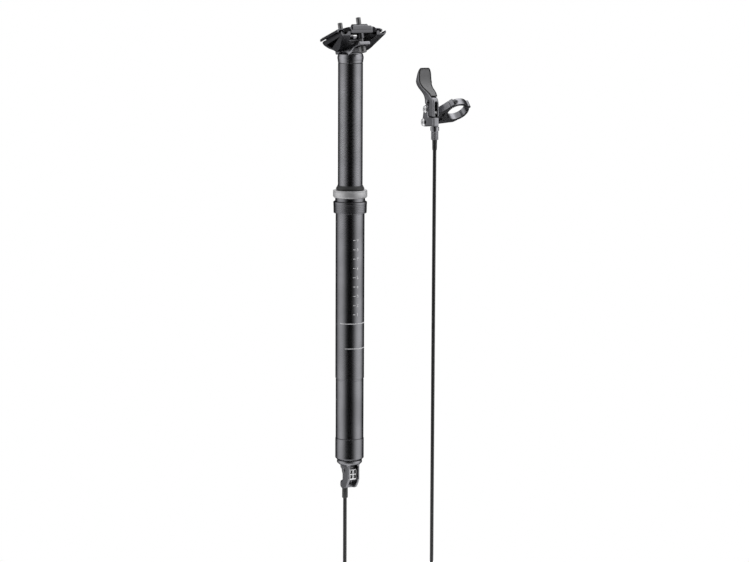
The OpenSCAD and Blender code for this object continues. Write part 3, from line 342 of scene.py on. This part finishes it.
HOUSING_R = 2.0 * MM
HOUSING_FACETS = 5
ROUTE_STEPS = 3
CABLE_Y = 10.3
FERRULE_Z = -313.3
REMOTE_X = 103.0
BOOT_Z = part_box("cable_boot")[0].z / MM
COIL_CENTRE = Vector((51.5, 4.0, -444.0))
COIL_LOOPS = 3.25
COIL_STEP = 4.7
COIL_R = 24.0
COIL_SIDE = 2.35
POST_RUN = [
    (0, CABLE_Y, FERRULE_Z), (0, CABLE_Y, -330), (0, CABLE_Y, -350), (0, CABLE_Y, -372),
    (0, CABLE_Y, -394), (0.5, 9.7, -401), (2.5, 8.4, -408), (6, 6.6, -415), (10.2, 4.8, -421),
    (14, 3.2, -427), (17.5, 2.1, -433), (19.4, 1.7, -438),
]
REMOTE_RUN = [
    (REMOTE_X, 0, BOOT_Z), (REMOTE_X, 0, 40), (REMOTE_X, 0, 0), (REMOTE_X, 0, -60), (REMOTE_X, 0, -120),
    (REMOTE_X, 0, -180), (REMOTE_X, 0, -240), (REMOTE_X, 0, -300), (REMOTE_X, 0, -350),
    (REMOTE_X, 0, -394), (102.5, 0.4, -401), (100.5, 1.4, -408), (97, 2.8, -415), (92.8, 4.2, -421),
    (89, 5.4, -427), (85.5, 6.1, -433), (83.6, 6.35, -438),
]


def coil_point(turn):
    """Spirals in through the near layer, crosses over, and spirals out through the far one."""
    turns = 2 * COIL_LOOPS
    reach = COIL_R + COIL_STEP * COIL_LOOPS / 2 - COIL_STEP * min(turn, turns - turn)
    across = max(0.0, min(1.0, turn - COIL_LOOPS + 0.5))
    layer = across * across * (3 - 2 * across)
    angle = 2 * math.pi * turn
    side = COIL_SIDE * (2 * layer - 1)
    return COIL_CENTRE + Vector((-reach * math.cos(angle), side, -reach * math.sin(angle)))


def coil_points(rings=36):
    count = round(2 * COIL_LOOPS * rings)
    return [coil_point(k / rings) for k in range(count + 1)]


def rounded(points, steps=ROUTE_STEPS):
    """Points along a smooth curve through the given ones."""
    held = [points[0], *points, points[-1]]
    line = []
    for a, b, c, d in zip(held, held[1:], held[2:], held[3:]):
        for k in range(steps):
            t = k / steps
            line.append(0.5 * (2 * b + (c - a) * t + (2 * a - 5 * b + 4 * c - d) * t ** 2
                               + (3 * b - a - 3 * c + d) * t ** 3))
    return [*line, points[-1]]


def make_cable():
    down = [Vector(p) for p in POST_RUN]
    up = [Vector(p) for p in reversed(REMOTE_RUN)]
    route = [p * MM for p in rounded([*down, *coil_points(), *up])]
    cable = round_cord("cable_housing", route, HOUSING_R, HOUSING_FACETS)
    finish_piece(cable, "outer", materials["housing_black"])
    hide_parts("housing_post_run", "housing_remote_run", "housing_coil")
    length = sum((b - a).length for a, b in zip(route, route[1:]))
    return cable, route[0], length


cable, cable_exit, cable_length = make_cable()


# Tie round the lowest bundle of the coil: a flat strap with round corners

STRAP_T = 0.8 * MM
STRAP_BEND = 2.6 * MM
STRAP_EDGE = 0.2 * MM
CORNER_STEPS = 6


def make_tie():
    low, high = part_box("coil_tie")
    middle = (low + high) / 2
    half = (high - low) / 2
    bm = bmesh.new()
    ring = []
    for corner, (sy, sz) in enumerate(((1, 1), (-1, 1), (-1, -1), (1, -1))):
        centre = Vector((0, sy * (half.y - STRAP_BEND), sz * (half.z - STRAP_BEND)))
        for k in range(CORNER_STEPS + 1):
            angle = math.pi / 2 * (corner + k / CORNER_STEPS)
            out = Vector((0, math.cos(angle), math.sin(angle)))
            ring.append((centre + out * STRAP_BEND, centre + out * (STRAP_BEND - STRAP_T)))
    rows = []
    for outer, inner in ring:
        corners = ((-half.x, outer), (half.x, outer), (half.x, inner), (-half.x, inner))
        rows.append([bm.verts.new(middle + p + Vector((x, 0, 0))) for x, p in corners])
    skin(bm, [*rows, rows[0]])
    bmesh.ops.recalc_face_normals(bm, faces=bm.faces)
    strap = bmesh_object("coil_strap", bm)
    soften(strap, STRAP_EDGE, segments=2)
    finish_piece(strap, "outer", materials["tie_black"])
    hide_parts("coil_tie")
    return strap


tie = make_tie()


# Finish of the carried pieces

SMOOTH_ANGLE = math.radians(32)
FLAT_ANGLE = math.radians(0.5)
WELD = 0.002 * MM
FORGED_VOXEL = 0.4 * MM
FORGED_FACTOR = 0.5
FORGED_PASSES = {"lever": 64, "remote_body": 64, "actuator_bracket": 40, "saddle_head": 18}
# The clamp pieces take the darker copy of their black, as painted shade
SHADED_CLAMP_PIECES = {"lower_cradle": clamp_shaded_black, "upper_clamp": clamp_shaded_black, "barrel_nuts": clamp_shaded_black}
SOFT_EDGES = {
    "outer_tube": 0.25, "collar": 0.4, "seal_housing": 0.3, "seal_ring": 0.25, "end_cap": 0.3,
    "lower_cradle": 0.5, "upper_clamp": 0.5, "barrel_nuts": 0.3, "front_bolt": 0.25, "rear_bolt": 0.25,
    "front_washer": 0.2, "rear_washer": 0.2, "cam_lever": 0.25, "housing_ferrule": 0.3,
    "thumb_pad": 0.4, "clamp_arm": 0.4, "clamp_cap": 0.4, "clamp_bolt": 0.25, "pivot_bolt": 0.25,
    "mount_bolt": 0.25, "barrel_adjuster": 0.15, "cable_boot": 0.3,
}


def smoothing_group():
    """Joins split corners and marks real edges, so that round faces shade round."""
    group = bpy.data.node_groups.new("smooth_by_angle", "GeometryNodeTree")
    group.interface.new_socket("Geometry", in_out="INPUT", socket_type="NodeSocketGeometry")
    group.interface.new_socket("Geometry", in_out="OUTPUT", socket_type="NodeSocketGeometry")
    make = group.nodes.new
    start = make("NodeGroupInput")
    end = make("NodeGroupOutput")
    drop = make("GeometryNodeRemoveAttribute")
    drop.inputs["Name"].default_value = "custom_normal"
    weld = make("GeometryNodeMergeByDistance")
    weld.inputs["Distance"].default_value = WELD
    angle = make("GeometryNodeInputMeshEdgeAngle")
    sharp = make("FunctionNodeCompare")
    sharp.operation = "LESS_THAN"
    sharp.inputs["B"].default_value = SMOOTH_ANGLE
    faces = make("GeometryNodeSetShadeSmooth")
    edges = make("GeometryNodeSetShadeSmooth")
    edges.domain = "EDGE"
    link = group.links.new
    link(start.outputs[0], drop.inputs["Geometry"])
    link(drop.outputs["Geometry"], weld.inputs["Geometry"])
    link(weld.outputs["Geometry"], faces.inputs["Geometry"])
    link(angle.outputs["Unsigned Angle"], sharp.inputs["A"])
    link(faces.outputs["Geometry"], edges.inputs["Geometry"])
    link(sharp.outputs["Result"], edges.inputs["Shade Smooth"])
    link(edges.outputs["Geometry"], end.inputs[0])
    return group


smooth_by_angle = smoothing_group()


def finish_node(name, slot, edge, passes):
    """Shades a carried piece and softens its edges: forged by smoothing passes, or with a bevel."""
    obj = nodes[name]
    obj.data.materials.clear()
    obj.data.materials.append(SHADED_CLAMP_PIECES.get(name, materials[slot]))
    smooth = obj.modifiers.new("smooth", "NODES")
    smooth.node_group = smooth_by_angle
    if passes:
        even = obj.modifiers.new("even", "REMESH")
        even.mode = "VOXEL"
        even.voxel_size = FORGED_VOXEL
        even.use_smooth_shade = True
        soft = obj.modifiers.new("soft", "SMOOTH")
        soft.factor = FORGED_FACTOR
        soft.iterations = passes
    elif edge:
        flat = obj.modifiers.new("flat", "DECIMATE")
        flat.decimate_type = "DISSOLVE"
        flat.angle_limit = FLAT_ANGLE
        bevel = soften(obj, edge, segments=2)
        bevel.limit_method = "ANGLE"
        bevel.angle_limit = SMOOTH_ANGLE
        bevel.harden_normals = True


for part in frame["record"]["subparts"]:
    name = part["node"]
    finish_node(name, part["material_slot"], SOFT_EDGES.get(name, 0) * MM, FORGED_PASSES.get(name, 0))


# Low cross rib on the cradle's floor, between its wings

CLAMP_LEAN = math.radians(17)
RAIL_Z = 186.3
RIB_Y = (4.2, 6.2)
RIB_EDGE = 0.6 * MM
RIB_OUTLINE = ((11.8, -9.6), (15.8, -4.8), (15.8, -1.6), (-15.8, -1.6), (-15.8, -4.8), (-11.8, -9.6))


def in_clamp(x, y, n):
    """Point in the clamp's leaning frame: y along the rails, n up from them."""
    lean, rise = math.sin(CLAMP_LEAN), math.cos(CLAMP_LEAN)
    return Vector((x, y * rise + n * lean, RAIL_Z - y * lean + n * rise)) * MM


def make_rib():
    bm = bmesh.new()
    rear, front = ([bm.verts.new(in_clamp(x, y, n)) for x, n in RIB_OUTLINE] for y in RIB_Y)
    bm.faces.new(rear)
    bm.faces.new(front)
    for k in range(len(rear)):
        bm.faces.new((rear[k - 1], rear[k], front[k], front[k - 1]))
    bmesh.ops.recalc_face_normals(bm, faces=bm.faces)
    rib = bmesh_object("cradle_rib", bm)
    soften(rib, RIB_EDGE, segments=3)
    # The rib takes the clamp's darker copy of black, as painted shade
    finish_piece(rib, "clamp", clamp_shaded_black)


make_rib()


# Painted shade: a thin near-black cord round the thumb pad stands in for the dark line at its edge; a
# point of the pad's edge is forward, up, half width

SHADE_CORD_R = 0.8
SHADE_CORD_FACETS = 4
SHADE_CORD_IN = 0.1
SHADE_CORD_FORWARD = 0.3
SHADE_CORD_DOWN = 0.32
PAD_EDGE = (
    (2.2, 121, 3.5), (4.4, 123, 3.9), (5, 123.6, 4.1), (9.5, 126.2, 4.8), (15.2, 129, 5.5),
    (16.4, 130, 5.8), (19.4, 132.4, 6.4), (20.5, 135, 7), (21.4, 137, 7), (22.2, 143, 7),
    (22.3, 144, 7), (22.7, 148, 6.1), (22.8, 149.6, 4.8),
)


def shade_cord_side(side):
    """Points of the cord of painted shade along one edge of the pad, from its foot to its top."""
    return [Vector((REMOTE_X + side * (half - SHADE_CORD_IN), forward + SHADE_CORD_FORWARD, up - SHADE_CORD_DOWN))
            for forward, up, half in PAD_EDGE]


def make_shade_cord():
    """A loop up the pad's left edge, over its top, down its right edge and back along its foot."""
    left, right = shade_cord_side(-1), shade_cord_side(1)
    route = [p * MM for p in (*rounded(left), *rounded(right[::-1]))]
    shade_cord = round_cord("pad_shade_cord", route, SHADE_CORD_R * MM, SHADE_CORD_FACETS, closed=True)
    finish_piece(shade_cord, "lever", shade_cord_black)


make_shade_cord()


# Printed marks on the outer tube

TUBE_R = 15.45
PRINT_T = 0.03
MARK_FROM = 3.5
TICK_LEN = 2.8
TICK_W = 0.7
FIRST_TICK_Z = -108
TICK_STEP = 10
DIGITS = "123456789"
DIGIT_H = 3.2
DIGIT_FROM = 7.6
DIGIT_BOLD = 0.1
FONT_SCALE = 1.4
LINE_W = 0.8
# A line: where it starts round the tube, its length and its height
LINES = ((-11.0, 35.0, -118), (-5.2, 29.2, -145))
STRIP_STEP = 0.7


def on_tube(arc, z, lift=PRINT_T):
    """Point on the tube: arc is the distance round it from the middle of the view."""
    angle = arc / TUBE_R
    out = toward_viewer * math.cos(angle) + level_right * math.sin(angle)
    return (out * (TUBE_R + lift) + Vector((0, 0, z))) * MM


def add_strip(bm, arc, length, z, height):
    """A curved printed bar, as thick as its ink."""
    steps = max(2, round(length / STRIP_STEP))
    rise = height / 2
    corners = ((-rise, PRINT_T), (rise, PRINT_T), (rise, 0.0), (-rise, 0.0))
    rows = []
    for k in range(steps + 1):
        at = arc + length * k / steps
        rows.append([bm.verts.new(on_tube(at, z + dz, lift)) for dz, lift in corners])
    skin(bm, rows)
    bm.faces.new(rows[0])
    bm.faces.new(rows[-1][::-1])


def make_marks():
    bm = bmesh.new()
    for k in range(len(DIGITS)):
        add_strip(bm, MARK_FROM, TICK_LEN, FIRST_TICK_Z + TICK_STEP * k, TICK_W)
    for arc, length, z in LINES:
        add_strip(bm, arc, length, z, LINE_W)
    bmesh.ops.recalc_face_normals(bm, faces=bm.faces)
    marks = bmesh_object("scale_marks", bm)
    finish_piece(marks, "outer", print_white)


def make_digits():
    verts = []
    faces = []
    for k, digit in enumerate(DIGITS):
        text = bpy.data.curves.new("digit", "FONT")
        text.body = digit
        text.size = DIGIT_H * FONT_SCALE
        text.offset = DIGIT_BOLD
        holder = add_object("digit", text)
        shape = holder.to_mesh()
        base = len(verts)
        z = FIRST_TICK_Z + TICK_STEP * k - DIGIT_H / 2
        verts += [on_tube(DIGIT_FROM + v.co.x, z + v.co.y, PRINT_T / 2) for v in shape.vertices]
        faces += [tuple(base + i for i in f.vertices) for f in shape.polygons]
        holder.to_mesh_clear()
        bpy.data.objects.remove(holder)
    digits = mesh_object("scale_digits", verts, faces, smooth=False)
    ink = digits.modifiers.new("ink", "SOLIDIFY")
    ink.thickness = PRINT_T * MM
    ink.offset = 0.0
    finish_piece(digits, "outer", print_white)


make_marks()
make_digits()


# Studio: a white backdrop, a dark room round the viewer, soft light from both sides and from above

# TOP_FROM and BELOW are heights of a direction, -1 to 1; SIDE_LIGHT gives a level at an angle in degrees
SIDE_LEVEL = 1.75
TOP_LEVEL = 0.6
TOP_FROM = (0.6, 0.92)
RIGHT_GAIN = 0.12
LEFT_REACH = 0.3
BELOW = (-0.9, -0.5)
BELOW_SHARE = 0.1
BACKDROP_FROM = (166.4, 170)
SIDE_LIGHT = ((0, 0.0), (16, 0.0), (30, 0.1), (45, 0.46), (62, 0.86), (78, 1.0), (98, 0.92),
              (114, 0.58), (128, 0.2), (140, 0.01), (180, 0.01))


def make_world():
    """Light by the angle round the object from the viewer, even from above and little from below."""
    world = bpy.data.worlds.new("studio")
    scene.world = world
    world.use_nodes = True
    tree = world.node_tree
    link = tree.links.new

    def fill(made, values):
        for socket, value in zip(made.inputs, values):
            if isinstance(value, bpy.types.NodeSocket):
                link(value, socket)
            else:
                socket.default_value = value
        return made

    def vector(operation, *values):
        made = tree.nodes.new("ShaderNodeVectorMath")
        made.operation = operation
        return fill(made, values)

    def number(operation, *values):
        made = tree.nodes.new("ShaderNodeMath")
        made.operation = operation
        return fill(made, values).outputs[0]

    def between(source, low, high, at_low, at_high):
        made = tree.nodes.new("ShaderNodeMapRange")
        return fill(made, (source, low, high, at_low, at_high)).outputs[0]

    way = tree.nodes.new("ShaderNodeTexCoord").outputs["Generated"]
    round_way = vector("NORMALIZE", vector("MULTIPLY", way, (1, 1, 0)).outputs[0]).outputs[0]
    facing = vector("DOT_PRODUCT", round_way, toward_viewer).outputs["Value"]
    sideways = vector("DOT_PRODUCT", round_way, level_right).outputs["Value"]
    height = vector("DOT_PRODUCT", way, (0, 0, 1)).outputs["Value"]
    angle = number("DIVIDE", number("ARCCOSINE", facing), math.pi)
    ramp = tree.nodes.new("ShaderNodeValToRGB")
    ramp.color_ramp.interpolation = "EASE"
    stops = ramp.color_ramp.elements
    for degrees, level in SIDE_LIGHT:
        stop = stops[0] if degrees == 0 else stops[-1] if degrees == 180 else stops.new(degrees / 180)
        stop.color = (level, level, level, 1)
    link(angle, ramp.inputs[0])
    reach = number("MULTIPLY_ADD", sideways, -LEFT_REACH, height)
    level = between(height, *TOP_FROM, ramp.outputs["Color"], TOP_LEVEL)
    strength = between(reach, *BELOW, BELOW_SHARE * SIDE_LEVEL, SIDE_LEVEL)
    side = number("MULTIPLY", level, strength)
    side = number("MULTIPLY", side, number("MULTIPLY_ADD", sideways, RIGHT_GAIN, 1.0))
    backdrop = between(angle, *(degrees / 180 for degrees in BACKDROP_FROM), 0.0, 1.0)
    path = tree.nodes.new("ShaderNodeLightPath").outputs
    shown = number("ADD", path["Is Glossy Ray"], path["Is Transmission Ray"])
    shown = number("MULTIPLY_ADD", shown, backdrop, path["Is Camera Ray"])
    shade = tree.nodes["Background"]
    shade.inputs["Color"].default_value = (1, 1, 1, 1)
    link(between(shown, 0.0, 1.0, side, 1.0), shade.inputs["Strength"])


LAMP_AIM = Vector((0.03, 0, -0.07))


def add_lamp(name, angle, height, distance, size, power):
    """A soft lamp at an angle round the object from the viewer, aimed at its middle."""
    angle = math.radians(angle)
    out = toward_viewer * math.cos(angle) + level_right * math.sin(angle)
    data = bpy.data.lights.new(name, "AREA")
    data.shape = "RECTANGLE"
    data.size, data.size_y = size
    data.energy = power
    lamp = add_object(name, data)
    lamp.location = out * distance + Vector((0, 0, height))
    aim = LAMP_AIM - lamp.location
    lamp.rotation_euler = aim.to_track_quat("-Z", "Y").to_euler()


FLOOR_HALF = 0.35
FLOOR_GAP = 20 * MM
FLOOR_COLOUR = (0.86, 0.86, 0.86, 1)
FLOOR_GLOW = 0.75


def make_floor():
    """A pale square that shows white to the camera and in metal, and keeps the shadow."""
    drop = cad_box[0].z - FLOOR_GAP
    corners = [(x * FLOOR_HALF, y * FLOOR_HALF, drop) for x, y in ((-1, -1), (1, -1), (1, 1), (-1, 1))]
    floor = mesh_object("floor", corners, [(0, 1, 2, 3)])
    made = Shader("floor")
    made.set(base_color=FLOOR_COLOUR, roughness=0.8, emission_color=(1, 1, 1, 1))
    path = made.node("ShaderNodeLightPath").outputs
    shown = path["Is Camera Ray"]
    for ray in ("Is Glossy Ray", "Is Transmission Ray"):
        total = made.node("ShaderNodeMath", operation="ADD")
        made.link(shown, total.inputs[0])
        made.link(path[ray], total.inputs[1])
        shown = total.outputs[0]
    lift = made.node("ShaderNodeMath", operation="MULTIPLY")
    lift.inputs[1].default_value = FLOOR_GLOW
    made.link(shown, lift.inputs[0])
    made.link(lift.outputs[0], made.surface.inputs["Emission Strength"])
    floor.data.materials.append(made.material)


make_world()
add_lamp("lamp_top", angle=150, height=1.3, distance=0.5, size=(1.2, 1.0), power=6)
make_floor()
scene.view_settings.view_transform = "Standard"
